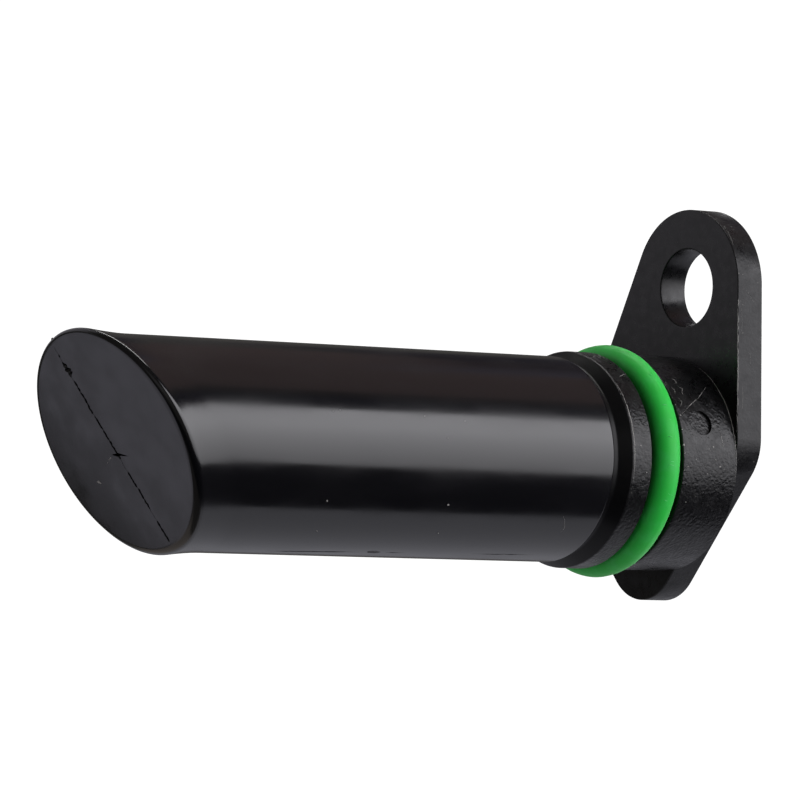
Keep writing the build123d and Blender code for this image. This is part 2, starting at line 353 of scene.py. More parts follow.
@dataclass(frozen=True)
class WorkedMetal(Finish):
    """Stamped, rolled or plated metal: fine lines the way it was rolled, and a faint mottle."""

    metallic: float = 1.0
    line_mm: float = 0.05
    line_height_mm: float = 0.0015
    mottle_mm: float = 0.6

    def pattern(self, tree: Tree, shader: Node, place: Socket) -> None:
        """Adds rolling lines and mottled gloss.

        Args:
            tree: the node tree.
            shader: its shader.
            place: Object coordinates, in metres.
        """
        lines = grain(tree, place, self.line_mm, stretch=(20.0, 20.0, 1.0))
        bump(tree, shader, (lines, self.line_height_mm))
        mottle = grain(tree, place, self.mottle_mm, detail=3.0)
        vary_gloss(tree, shader, mottle, self.roughness - 0.06, self.roughness + 0.08)


@dataclass(frozen=True)
class FiredCeramic(Finish):
    """Fired tan ceramic: a dull, slightly grainy block."""

    name: str = "fired_tan_ceramic"
    colour: str = "#9d8467"
    roughness: float = 0.6
    powder_mm: float = 0.08
    powder_height_mm: float = 0.004

    def pattern(self, tree: Tree, shader: Node, place: Socket) -> None:
        """Adds the grain of the fired powder."""
        powder = grain(tree, place, self.powder_mm, detail=3.0)
        bump(tree, shader, (powder, self.powder_height_mm))


@dataclass(frozen=True)
class GlowingCard(Finish):
    """Pale card that glows by itself, so that it meets the white room without a line."""

    name: str = "pale_floor"
    colour: str = "#e6e6e6"
    roughness: float = 0.9
    glow: float = 1.0

    def pattern(self, tree: Tree, shader: Node, place: Socket) -> None:
        """Adds the glow."""
        shader.inputs["Emission Color"].default_value = linear("#ffffff")
        shader.inputs["Emission Strength"].default_value = self.glow


POLISHED = PolishedNylon()
# the tip's face comes off a flat lapped tool insert, so it hardly waves
FACE = PolishedNylon(name="lapped_moulded_black_nylon", roughness=0.13, wave_height_mm=0.004)
# the neck below the crowns, in the recess behind the sleeve's end, takes a darker colour and a lower IOR than
# the gland: painted shade
SHADED = PolishedNylon(name="neck_nylon_darkened_as_painted_shade", colour="#060607", roughness=0.34, ior=1.28)
# the gland was left rough by the spark: its sheen breaks up into grains
ERODED = ErodedNylon()
# the plate's front is finer, an even satin
SATIN = ErodedNylon(
    name="satin_moulded_black_nylon", roughness=0.3, grit_height_mm=0.003, swell_height_mm=0.004,
    dust_share=0.15,
)
# the plate's rim was scored when it left the tool, so its sheen is streaked and paler
SCORED = ErodedNylon(
    name="scored_moulded_black_nylon", colour="#131314", roughness=0.34, ior=1.35, grit_mm=0.3,
    grit_height_mm=0.02, dust_share=0.7,
)
# scratched nylon turns whitish where it is torn
TORN = Finish(name="torn_whitened_nylon", colour="#5c5b58", roughness=0.6)
# scratches and specks are pale grey hairlines and dots; the same pale grey also paints the highlight along
# the land's front edge and the collar's root
WORN_AND_PAINTED_HIGHLIGHT = Finish(name="pale_wear_and_painted_highlight_nylon", colour="#8b8985", roughness=0.6)
# nylon that was bent back over itself goes almost white, the palest specks of all
WHITENED = Finish(name="stress_whitened_nylon", colour="#b4b2ad", roughness=0.7)
RUBBER = MouldedRubber()
# a scuff lays the rubber's powder bare, a duller and paler green
SCUFFED = Finish(name="scuffed_green_rubber", colour="#5fce79", roughness=0.7)
# tin is warm and soft in its shine, nickel mirrors more, and the punched disc is greyer
TINNED = WorkedMetal(name="tin_plated_brass", colour="#cfcac0", roughness=0.3)
NICKEL = WorkedMetal(name="nickel_plated_magnet", colour="#bdb8ae", roughness=0.22)
STEEL = WorkedMetal(name="punched_bright_steel", colour="#a9a9a8", roughness=0.34)
CERAMIC = FiredCeramic()
# the stage: a floor that can't be told from the room, and a card that reflects as darkness
FLOOR = GlowingCard()
BLACK_CARD = Finish(name="black_card", colour="#1a1a26", roughness=1.0)


@dataclass(frozen=True)
class Slant:
    """The oblique plane that closes the barrel, met by the barrel's axis at tip_x."""

    tip_x: float = -60.25
    angle: float = math.radians(25.3)
    turn: float = math.radians(7.0)

    def drift(self) -> Vector:
        """Returns how far the plane moves along X for each unit of Y and Z."""
        steep = math.tan(self.angle)
        return Vector((0.0, -steep * math.sin(self.turn), -steep * math.cos(self.turn)))

    def normal(self) -> Vector:
        """Returns the plane's outward normal."""
        return Vector((-1.0, *self.drift().yz)).normalized()

    def point(self, y: float, z: float) -> Vector:
        """Returns the point of the plane over this Y and Z."""
        return Vector((self.tip_x + self.drift().dot(Vector((0.0, y, z))), y, z))

    def ring(self, x: float, radius: float, lean: float = 0.0, taller: float = 0.0) -> Matrix:
        """Places a unit circle of the YZ plane round the X axis.

        Args:
            x: where the circle's middle stands.
            radius: its radius across the axis.
            lean: its share of the plane's slant.
            taller: how much more it reaches upwards and downwards.

        Returns:
            The placement.
        """
        height = radius + taller
        drift = self.drift() * lean
        return Matrix((
            (1.0, drift.y * radius, drift.z * height, x),
            (0.0, radius, 0.0, 0.0),
            (0.0, 0.0, height, 0.0),
            (0.0, 0.0, 0.0, 1.0),
        ))


SLANT = Slant()
ACROSS_X = Matrix.Rotation(math.pi / 2, 4, "Y")


def loft_rings(stations: list[Matrix], segments: int) -> Shape:
    """Carries a unit circle through a row of placements and closes both ends.

    Args:
        stations: where the circle stands in turn.
        segments: sides of the circle.

    Returns:
        A closed shape whose faces point outwards.
    """
    shape = bmesh.new()
    bmesh.ops.create_circle(
        shape, cap_ends=True, radius=1.0, segments=segments, matrix=stations[0] @ ACROSS_X
    )
    rim = list(shape.edges)
    for here, there in zip(stations, stations[1:]):
        grown = bmesh.ops.extrude_edge_only(shape, edges=rim)["geom"]
        verts = {item for item in grown if isinstance(item, Vert)}
        bmesh.ops.transform(shape, matrix=there @ here.inverted(), verts=list(verts))
        rim = [
            item for item in grown
            if isinstance(item, Edge) and verts.issuperset(item.verts)
        ]
    bmesh.ops.contextual_create(shape, geom=rim)
    bmesh.ops.recalc_face_normals(shape, faces=shape.faces)
    return shape


def soften_edges(
    shape: Shape, width: float, segments: int, where: Callable[[Vector], bool] = lambda middle: True,
    sharper_than: float = math.radians(35),
) -> None:
    """Rounds the sharp edges of a shape.

    Args:
        shape: the shape.
        width: how far the round runs along each face.
        segments: facets of the round.
        where: says by its middle whether an edge is taken.
        sharper_than: the least angle between the faces of a taken edge.
    """
    taken = [
        edge for edge in shape.edges
        if edge.is_manifold and edge.calc_face_angle() > sharper_than
        and where((edge.verts[0].co + edge.verts[1].co) / 2)
    ]
    bmesh.ops.bevel(
        shape, geom=taken, offset=width, offset_type="OFFSET", segments=segments, profile=0.5,
        affect="EDGES", material=-1, clamp_overlap=True,
    )


def carve(shape: Shape, cutter: Shape) -> Shape:
    """Cuts one closed shape out of another.

    Args:
        shape: what is cut.
        cutter: what is taken away.

    Returns:
        The cut shape. Both given shapes are used up.
    """
    objects = []
    for part in (shape, cutter):
        mesh = bpy.data.meshes.new("cut")
        part.to_mesh(mesh)
        part.free()
        holder = bpy.data.objects.new("cut", mesh)
        bpy.context.scene.collection.objects.link(holder)
        objects.append(holder)
    body, tool = objects
    cut = body.modifiers.new("cut", "BOOLEAN")
    cut.operation = "DIFFERENCE"
    cut.solver = "EXACT"
    cut.object = tool
    bpy.context.view_layer.update()
    result = bpy.data.meshes.new_from_object(body.evaluated_get(bpy.context.evaluated_depsgraph_get()))
    carved = bmesh.new()
    carved.from_mesh(result)
    for holder in objects:
        mesh = holder.data
        bpy.data.objects.remove(holder)
        bpy.data.meshes.remove(mesh)
    bpy.data.meshes.remove(result)
    return carved


def merge(shapes: list[Shape]) -> Shape:
    """Gathers several closed shapes in one and uses them up.

    Args:
        shapes: the shapes.

    Returns:
        The one shape.
    """
    whole = bmesh.new()
    for shape in shapes:
        mesh = bpy.data.meshes.new("gathered")
        shape.to_mesh(mesh)
        shape.free()
        whole.from_mesh(mesh)
        bpy.data.meshes.remove(mesh)
    return whole


def draw_out(shape: Shape, faces: list[Face], move: tuple[float, float, float]) -> list:
    """Extrudes faces and moves their new end.

    Args:
        shape: the shape.
        faces: the faces that are drawn out.
        move: how far they go.

    Returns:
        The vertices, edges and faces of the new end.
    """
    grown = bmesh.ops.extrude_face_region(shape, geom=faces)["geom"]
    bmesh.ops.translate(shape, vec=move, verts=[item for item in grown if isinstance(item, Vert)])
    return grown


def box(low: Vector, high: Vector) -> Shape:
    """Makes a box between two corners.

    Args:
        low: its lowest corner.
        high: its highest corner.

    Returns:
        The closed box.
    """
    shape = bmesh.new()
    place = Matrix.Translation((low + high) / 2) @ Matrix.Diagonal((*(high - low), 1.0))
    bmesh.ops.create_cube(shape, size=1.0, matrix=place)
    return shape


def bar(radius: float, length: float, place: Matrix, segments: int) -> Shape:
    """Makes a round bar along its own Z.

    Args:
        radius: its radius.
        length: its length.
        place: where its middle stands.
        segments: its sides.

    Returns:
        The closed bar.
    """
    shape = bmesh.new()
    bmesh.ops.create_cone(
        shape, cap_ends=True, segments=segments, radius1=radius, radius2=radius, depth=length, matrix=place
    )
    return shape


def link_object(name: str, shape: Shape, materials: list[Material]) -> Piece:
    """Turns a shape in millimetres to an object in metres.

    Args:
        name: the object's name.
        shape: its shape, which is used up.
        materials: its materials, in the order of the faces' material numbers.

    Returns:
        The object.
    """
    bmesh.ops.scale(shape, vec=(MM, MM, MM), verts=shape.verts)
    mesh = bpy.data.meshes.new(name)
    shape.to_mesh(mesh)
    shape.free()
    for material in materials:
        mesh.materials.append(material)
    made = bpy.data.objects.new(name, mesh)
    bpy.context.scene.collection.objects.link(made)
    return made


def finish_piece(
    name: str, shape: Shape, finishes: list[Finish], replaces: tuple[str, ...] = (),
    smooth_below: float = math.radians(38),
) -> Piece:
    """Turns a shape in millimetres to a finished piece that rides on the sensor.

    Args:
        name: the piece's name.
        shape: its closed shape, which is used up.
        finishes: its materials, in the order of the faces' material numbers.
        replaces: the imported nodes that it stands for.
        smooth_below: edges blunter than this are shaded smooth.

    Returns:
        The piece.
    """
    piece = link_object(name, shape, [finish.material() for finish in finishes])
    for polygon in piece.data.polygons:
        polygon.use_smooth = True
    piece.data.set_sharp_from_angle(angle=smooth_below)
    weighted = piece.modifiers.new("weighted_normals", "WEIGHTED_NORMAL")
    weighted.keep_sharp = True
    weighted.weight = 60
    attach(piece, BODY)
    if replaces:
        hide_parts(*replaces)
    return piece


@dataclass(frozen=True)
class RoundSkin:
    """A cylinder round the X axis that fine marks are laid on."""

    radius: float

    def place(self, along: float, across: float) -> tuple[Vector, Vector]:
        """Finds a point of the skin and its outward normal.

        Args:
            along: the point's X.
            across: degrees up from the near side.

        Returns:
            The point and the normal.
        """
        lift = math.radians(across)
        normal = Vector((0.0, -math.cos(lift), math.sin(lift)))
        return normal * self.radius + Vector((along, 0.0, 0.0)), normal


@dataclass(frozen=True)
class FlatSkin:
    """A flat face that fine marks are laid on, with its two directions and its normal."""

    origin: tuple[float, float, float] = (0.0, 0.0, 0.0)
    along: tuple[float, float, float] = (0.0, 1.0, 0.0)
    across: tuple[float, float, float] = (0.0, 0.0, 1.0)
    outward: tuple[float, float, float] = (-1.0, 0.0, 0.0)

    def place(self, along: float, across: float) -> tuple[Vector, Vector]:
        """Finds a point of the face, so far along both directions, and the normal."""
        spot = Vector(self.origin) + Vector(self.along) * along + Vector(self.across) * across
        return spot, Vector(self.outward)


Skin = RoundSkin | FlatSkin


def ripple(x: float, y: float = 0.0, z: float = 0.0) -> float:
    """Returns a smooth noise about nought, the same at each run."""
    return noise.noise(Vector((x, y, z)))


@dataclass(frozen=True)
class FineMark:
    """A hair-fine scratch, fin or burr that follows a few points of a skin."""

    skin: Skin
    route: tuple[tuple[float, float], ...]
    half_width: float = 0.035
    height: float = 0.006
    sunk: float = 0.03
    unevenness: float = 0.4
    step: float = 0.12
    seed: int = 0

    def shape(self) -> Shape:
        """Returns the mark as a thin closed strip, partly sunk in the skin.

        Returns:
            The strip.
        """
        spots = [self.skin.place(*stop) for stop in self.route]
        lengths = [(b[0] - a[0]).length for a, b in zip(spots, spots[1:])]
        whole = sum(lengths)
        cuts = max(2, round(whole / self.step))
        strip = bmesh.new()
        bmesh.ops.create_cube(strip, size=1.0)
        long_edges = [e for e in strip.edges if abs(e.verts[0].co.x - e.verts[1].co.x) > 0.5]
        bmesh.ops.subdivide_edges(strip, edges=long_edges, cuts=cuts, use_grid_fill=True)
        for vert in strip.verts:
            share = vert.co.x + 0.5
            here, normal, heading = self.stop_at(share * whole, lengths)
            wobble = ripple(share * whole * 2.3, self.seed * 7.7)
            swell = ripple(share * whole * 1.1, self.seed * 3.1, 5.0)
            taper = min(1.0, 0.15 + 3.0 * min(share, 1.0 - share))
            reach = self.half_width * taper * (1.0 + self.unevenness * wobble)
            rise = self.height * taper * (1.0 + self.unevenness * swell) if vert.co.z > 0 else -self.sunk
            inward = 0.35 if vert.co.z > 0 else 1.0
            side = normal.cross(heading)
            stray = ripple(share * whole * 1.7, 0.0, self.seed * 5.3)
            drift = self.unevenness * self.half_width * 1.5 * stray
            vert.co = here + side * (2 * vert.co.y * reach * inward + drift) + normal * rise
        bmesh.ops.recalc_face_normals(strip, faces=strip.faces)
        return strip

    def stop_at(self, distance: float, lengths: list[float]) -> tuple[Vector, Vector, Vector]:
        """Finds a place along the route.

        Args:
            distance: how far along.
            lengths: the route's straight lengths.

        Returns:
            The point, the skin's normal and the heading there.
        """
        leg = 0
        while leg < len(lengths) - 1 and distance > lengths[leg]:
            distance -= lengths[leg]
            leg += 1
        share = min(1.0, max(0.0, distance / lengths[leg]))
        start, end = self.route[leg], self.route[leg + 1]
        spot = [a + (b - a) * share for a, b in zip(start, end)]
        here, normal = self.skin.place(*spot)
        heading = (self.skin.place(*end)[0] - self.skin.place(*start)[0]).normalized()
        return here, normal, heading


def pip(skin: Skin, along: float, across: float, size: tuple[float, float, float]) -> Shape:
    """Makes one flattened pip of plastic on a skin.

    Args:
        skin: the surface.
        along: its first coordinate on the skin.
        across: its second coordinate on the skin.
        size: half sizes along the skin, across it and outwards.

    Returns:
        A closed shape.
    """
    here, normal = skin.place(along, across)
    ahead = (skin.place(along + 1.0, across)[0] - here).normalized()
    basis = Matrix((ahead * size[0], normal.cross(ahead) * size[1], normal * size[2])).transposed()
    shape = bmesh.new()
    bmesh.ops.create_icosphere(
        shape, subdivisions=2, radius=1.0, matrix=Matrix.Translation(here) @ basis.to_4x4()
    )
    bmesh.ops.recalc_face_normals(shape, faces=shape.faces)
    return shape


def strokes(skin: Skin, rows: Iterable[tuple]) -> list[Shape]:
    """Lays several fine marks on one skin.

    Args:
        skin: the surface.
        rows: each mark's route, half width, height and seed.

    Returns:
        Their closed shapes.
    """
    return [FineMark(skin, route, wide, high, seed=seed).shape() for route, wide, high, seed in rows]


@dataclass(frozen=True)
class Tear:
    """A place where the weld line is torn wider."""

    share: float
    ahead: float
    astern: float
    spread: float
    lean: float = 0.0


@dataclass(frozen=True)
class KnitLine:
    """The jagged weld line on the tip's face, where two streams of plastic met."""

    start: tuple[float, float] = (3.354, 7.872)
    end: tuple[float, float] = (-2.384, -8.172)
    half_width: float = 0.13
    depth: float = 0.3
    step: float = 0.1
    jag: float = 0.13
    tears: tuple[Tear, ...] = (
        Tear(0.099, 0.12, 0.25, 0.2), Tear(0.122, 0.2, 0.5, 0.22, 0.3), Tear(0.142, 0.1, 0.35, 0.18),
        Tear(0.558, 0.75, 1.2, 0.13, 0.5),
    )
    # stretches where the line almost closes, as shares along it, and what is left of it there
    faint: tuple[tuple[float, float], ...] = (
        (0.0, 0.043), (0.055, 0.083), (0.158, 0.18), (0.231, 0.239), (0.342, 0.358), (0.429, 0.435),
        (0.576, 0.647), (0.723, 0.731), (0.835, 0.896),
    )
    faint_share: float = 0.12

    def engrave(self, shape: Shape, face: Face) -> None:
        """Cuts the line into the flat face.

        Args:
            shape: the sleeve's shape.
            face: its flat tip face.
        """
        normal = SLANT.normal()
        first, last = SLANT.point(*self.start), SLANT.point(*self.end)
        heading = (last - first).normalized()
        side = normal.cross(heading)
        length = (last - first).length
        pieces = [face]
        for offset in (-self.half_width, self.half_width):
            pieces = self.slice(shape, pieces, first + side * offset, side)
        strip = [p for p in pieces if abs((p.calc_center_median() - first).dot(side)) < self.half_width]
        for cut in range(round(length / self.step) + 1):
            strip = self.slice(shape, strip, first + heading * (cut * self.step), heading)
        strip = self.slice(shape, strip, first, side)
        for vert in {vert for piece in strip for vert in piece.verts}:
            share = (vert.co - first).dot(heading) / length
            if 0.001 < share < 0.999:
                vert.co += self.drift(share, length, (vert.co - first).dot(side), heading, side, normal)
        for piece in strip:
            piece.material_index = 2
            for edge in piece.edges:
                edge.smooth = False

    def drift(
        self, share: float, length: float, lateral: float, heading: Vector, side: Vector, normal: Vector
    ) -> Vector:
        """Returns how far a point of the line's strip moves.

        Args:
            share: where it lies along the line.
            length: the line's length.
            lateral: its distance from the line's middle.
            heading: the way along the line.
            side: the way across it.
            normal: the face's outward normal.

        Returns:
            The move.
        """
        along = share * length
        weight = self.faint_share if any(low <= share <= high for low, high in self.faint) else 1.0
        wander = ripple(along * 0.9, 3.0) + 0.5 * ripple(along * 3.3, 1.0)
        ragged = ripple(along * 3.7, 9.0, math.copysign(4.0, lateral))
        reach = 0.12 + 0.88 * weight * (0.8 + 0.9 * ragged)
        lean = 0.0
        for tear in self.tears:
            blot = tear.ahead if lateral * side.y > 0 else tear.astern
            near = max(0.0, 1.0 - (abs(share - tear.share) * length / tear.spread) ** 2)
            widened = (blot / self.half_width) * near * (1.0 + 0.5 * ragged)
            reach += widened
            lean += widened * tear.lean * lateral
        fall = max(weight, min(1.7, reach / 3)) * self.depth if abs(lateral) < self.half_width / 2 else 0.0
        return side * (lateral * (reach - 1.0) + wander * self.jag) + heading * lean - normal * fall

    @staticmethod
    def slice(
        shape: Shape, faces: list[Face], spot: Vector, across: Vector
    ) -> list[Face]:
        """Cuts faces by a plane and returns all their parts.

        Args:
            shape: the shape that they belong to.
            faces: the faces.
            spot: a point of the plane.
            across: the plane's normal.

        Returns:
            All the parts of the faces.
        """
        geometry = list(faces)
        for face in faces:
            geometry.extend(face.edges)
            geometry.extend(face.verts)
        cut = bmesh.ops.bisect_plane(
            shape, geom=list(dict.fromkeys(geometry)), dist=1e-6, plane_co=spot, plane_no=across
        )
        return [item for item in cut["geom"] if isinstance(item, Face)]


@dataclass
class BarrelSleeve:
    """The glossy barrel: a thin cap with an obliquely closed, slightly flared tip."""

    radius: float = 9.0
    wall: float = 1.2
    open_x: float = -13.4
    open_round: float = 0.4
    open_steps: int = 4
    lip_radius: float = 9.22
    lip_taller: float = 0.15
    lip_length: float = 4.5
    lip_steps: int = 5
    inner_tip_depth: float = 1.33
    rim_width: float = 0.72
    segments: int = 192
    knit_line: KnitLine = KnitLine()

    def build(self) -> list[Piece]:
        """Makes the sleeve and the marks that its mould left.

        Returns:
            The sleeve, its mould marks and both sets of specks.
        """
        shape = self.cap()
        tip = max(shape.faces, key=lambda face: face.calc_area() * (face.normal.dot(SLANT.normal()) > 0.99))
        tip.material_index = 1
        self.knit_line.engrave(shape, tip)
        for face in shape.faces:
            if face.normal.dot(SLANT.normal()) > 0.9999 and face.calc_center_median().x < self.open_x:
                face.material_index = 1
        sleeve = finish_piece("sleeve", shape, [POLISHED, FACE, ERODED], ("barrel_sleeve",))
        return [sleeve, self.mould_marks(), self.barrel_specks(), self.face_specks()]

    def cap(self) -> Shape:
        """Returns the plain cap: bore, open edge, barrel, flared lip and rounded rim.

        Returns:
            The closed cap.
        """
        bore = self.radius - self.wall
        stations = [
            SLANT.ring(SLANT.tip_x + self.inner_tip_depth, bore, 1.0),
            SLANT.ring(self.open_x, bore),
        ]
        for step in range(self.open_steps + 1):
            angle = math.radians(90 * step / self.open_steps)
            stations.append(SLANT.ring(
                self.open_x - self.open_round * (1 - math.cos(angle)),
                self.radius - self.open_round * (1 - math.sin(angle)),
            ))
        lip_start = SLANT.tip_x + self.lip_length
        for share in (0.25, 0.5, 0.75):
            x = self.open_x + (lip_start - self.open_x) * share
            stations.append(SLANT.ring(x, self.radius, share))
        for step in range(self.lip_steps + 1):
            share = step / self.lip_steps
            flare = share ** 1.6
            stations.append(SLANT.ring(
                lip_start - self.lip_length * share, self.radius + (self.lip_radius - self.radius) * flare,
                1.0, self.lip_taller * flare,
            ))
        shape = loft_rings(stations, self.segments)

        def on_tip_rim(middle: Vector) -> bool:
            """Says whether an edge lies on the rim of the tip."""
            return abs(SLANT.point(middle.y, middle.z).x - middle.x) < 0.05

        soften_edges(shape, self.rim_width, 7, where=on_tip_rim)
        bmesh.ops.recalc_face_normals(shape, faces=shape.faces)
        return shape

    def mould_marks(self) -> Piece:
        """Returns the parting line's fins, its one burr and the pips on the barrel.

        Returns:
            The marks as one piece.
        """
        skin = RoundSkin(self.radius)
        marks = [
            *strokes(skin, (
                (((-46.0, -76.8), (-36.3, -74.0)), 0.05, 0.03, 1),
                (((-33.6, -73.6), (-31.6, -73.2)), 0.04, 0.02, 2),
                (((-24.6, -72.2), (-17.6, -70.9)), 0.05, 0.03, 3),
                (((-51.0, 103.0), (-15.0, 108.0)), 0.04, 0.02, 4),
            )),
            pip(skin, -34.9, -73.4, (0.75, 0.2, 0.1)),
            pip(RoundSkin(self.lip_radius - 0.1), SLANT.point(3.6, 8.5).x + 0.4, 113.0, (0.16, 0.1, 0.25)),
        ]
        return finish_piece("sleeve_mould_marks", merge(marks), [POLISHED])

    def barrel_specks(self) -> Piece:
        """Returns the pale specks on the barrel and the short hooked scratch near its end.

        Returns:
            The specks as one piece.
        """
        skin = RoundSkin(self.radius)
        hook = ((-17.95, -35.5), (-17.52, -38.1), (-17.15, -43.0), (-17.06, -47.6))
        marks = [FineMark(skin, hook, 0.035, 0.008, seed=5).shape()]
        for x, lift, size in (
            (-43.93, -30.9, 0.1), (-30.98, -30.9, 0.1), (-43.3, -51.8, 0.06), (-30.44, -50.5, 0.06),
            (-44.0, 18.4, 0.04), (-43.25, 19.2, 0.04), (-34.26, 17.9, 0.04), (-32.03, 6.2, 0.04),
            (-29.95, 16.1, 0.03),
        ):
            marks.append(pip(skin, x, lift, (size, size, 0.04)))
        return finish_piece("barrel_specks", merge(marks), [WORN_AND_PAINTED_HIGHLIGHT])

    def face_specks(self) -> Piece:
        """Returns the whitened specks on the face: one by itself and a few beside the weld line.

        Returns:
            The specks as one piece.
        """
        drift = SLANT.drift()
        face = FlatSkin(
            (SLANT.tip_x, 0.0, 0.0), (drift.y, 1.0, 0.0), (drift.z, 0.0, 1.0), tuple(SLANT.normal())
        )
        marks = [
            pip(face, 3.92, -3.2, (0.2, 0.1, 0.05)),
            pip(face, 3.72, -3.3, (0.1, 0.08, 0.05)),
            *strokes(face, (
                (((1.62, -1.45), (1.35, -1.4), (1.05, -1.18)), 0.06, 0.03, 21),
                (((1.9, -1.75), (1.75, -1.6)), 0.05, 0.03, 23),
            )),
        ]
        return finish_piece("face_specks", merge(marks), [WHITENED])


@dataclass
class SealGland:
    """The turned-looking front of the housing: spigot, land, ring groove and collar."""

    spigot_end_x: float = -20.0
    spigot_radius: float = 7.78
    sleeve_end_x: float = -13.4
    neck_radius: float = 8.6
    neck_length: float = 0.5
    land_front_x: float = -11.88
    land_rear_x: float = -9.7
    groove_radius: float = 7.72
    collar_front_x: float = -6.13
    radius: float = 9.5
    root_x: float = 0.05
    edge_round: float = 0.13
    band: float = 0.45
    mark_x: float = -3.6
    mark_lift: float = 20.0
    mark_radius: float = 1.15
    mark_depth: float = 0.3
    mark_segments: int = 64
    segments: int = 224

    def build(self) -> list[Piece]:
        """Makes the gland, the scratches on its land and collar, and its painted highlight lines.

        Returns:
            The gland, and its scratches and painted highlight lines as one piece.
        """
        profile = [
            (self.spigot_end_x, self.spigot_radius),
            (self.sleeve_end_x, self.spigot_radius),
            (self.sleeve_end_x, self.neck_radius),
            (self.sleeve_end_x + self.neck_length, self.neck_radius),
            (self.land_front_x, self.radius),
            (self.land_rear_x, self.radius),
            (self.land_rear_x, self.groove_radius),
            (self.collar_front_x, self.groove_radius),
            (self.collar_front_x, self.radius),
        ]
        bands = round((self.root_x - self.collar_front_x) / self.band)
        for step in range(1, bands + 1):
            x = self.collar_front_x + (self.root_x - self.collar_front_x) * step / bands
            profile.append((x, self.radius))
        shape = loft_rings([SLANT.ring(x, r) for x, r in profile], self.segments)
        soften_edges(shape, self.edge_round, 3, where=lambda middle: middle.x < 0.0)
        shape = carve(shape, self.ejector_pin())
        # the faces ahead of the land's front edge (neck, cone and hidden spigot) take SHADED, a darker copy
        # of the gland's nylon: painted shade in the recess behind the sleeve's end
        for face in shape.faces:
            if face.calc_center_median().x < self.land_front_x - 0.05:
                face.material_index = 1
        gland = finish_piece("seal_gland", shape, [ERODED, SHADED], ("flange_housing",))
        return [gland, self.scratches()]

    def ejector_pin(self) -> Shape:
        """Returns the end of the pin that left the round mark on the collar.

        Returns:
            The closed pin.
        """
        foot, outward = RoundSkin(self.radius - self.mark_depth).place(self.mark_x, self.mark_lift)
        length = 2.0
        turned = Vector((0.0, 0.0, 1.0)).rotation_difference(outward).to_matrix().to_4x4()
        place = Matrix.Translation(foot + outward * length / 2) @ turned
        return bar(self.mark_radius, length, place, self.mark_segments)

    def scratches(self) -> Piece:
        """Returns the fine scratches and hooks on the land and the collar, and two pale lines of painted
        highlight along the land's front edge and the collar's root.

        Returns:
            The marks as one piece.
        """
        skin = RoundSkin(self.radius)
        routes = [
            ((-10.9, 47.9), (-10.1, 50.4), (-9.75, 51.0)),
            ((-5.7, 23.9), (-4.3, 30.3), (-2.9, 35.5), (-1.2, 44.1)),
            ((-4.8, 49.5), (-4.5, 47.5), (-4.55, 45.6), (-4.9, 44.5)),
            ((-5.5, 42.5), (-5.3, 39.8), (-5.5, 37.0)),
            ((-4.7, 43.0), (-4.3, 41.0), (-4.6, 38.5), (-4.6, 35.7)),
            ((-5.3, 34.5), (-5.1, 32.0), (-5.5, 29.0)),
            ((-3.4, 8.0), (-2.9, 4.0)),
            ((-1.6, 14.0), (-1.5, 6.5)),
        ]
        rows = [(route, 0.035, 0.008, seed) for seed, route in enumerate(routes)]
        # painted highlights: a pale line just behind the land's front edge and a thin raised pale line where
        # the collar meets the plate, drawn in pale grey where those edges catch the light
        front, rear = self.land_front_x + 0.17, -0.06
        rows.append((tuple((front, lift) for lift in (44.0, 15.0, -14.0)), 0.07, 0.012, 31))
        rows.append((tuple((rear, lift) for lift in (62.0, 43.0, 26.0, 9.8, -9.0)), 0.045, 0.04, 32))
        marks = strokes(skin, rows)
        edge_x = self.collar_front_x
        for x, lift, size in (
            (edge_x + 0.1, 7.4, 0.13), (edge_x + 0.3, 23.9, 0.09), (edge_x + 0.1, 15.7, 0.08),
            (edge_x + 0.15, 3.0, 0.06), (edge_x + 0.12, -6.0, 0.06), (edge_x + 0.12, 30.0, 0.06),
            (-5.6, -4.1, 0.08), (-5.2, -23.0, 0.07), (-4.7, 0.0, 0.05), (-2.64, 6.9, 0.1),
            (-2.44, 0.0, 0.07), (-1.91, -3.4, 0.1), (-3.3, -7.5, 0.06), (-11.0, 6.0, 0.07),
            (-10.3, -8.0, 0.06),
        ):
            marks.append(pip(skin, x, lift, (size, 0.7 * size, 0.03)))
        return finish_piece("gland_scratches_and_painted_highlights", merge(marks), [WORN_AND_PAINTED_HIGHLIGHT])


@dataclass(frozen=True)
class RoundCorner:
    """One round corner of the plate's outline."""

    y: float
    z: float
    radius: float

    def reach(self, way: Vector) -> float:
        """Returns how far the corner reaches in a direction of the YZ plane."""
        return self.y * way.y + self.z * way.z + self.radius


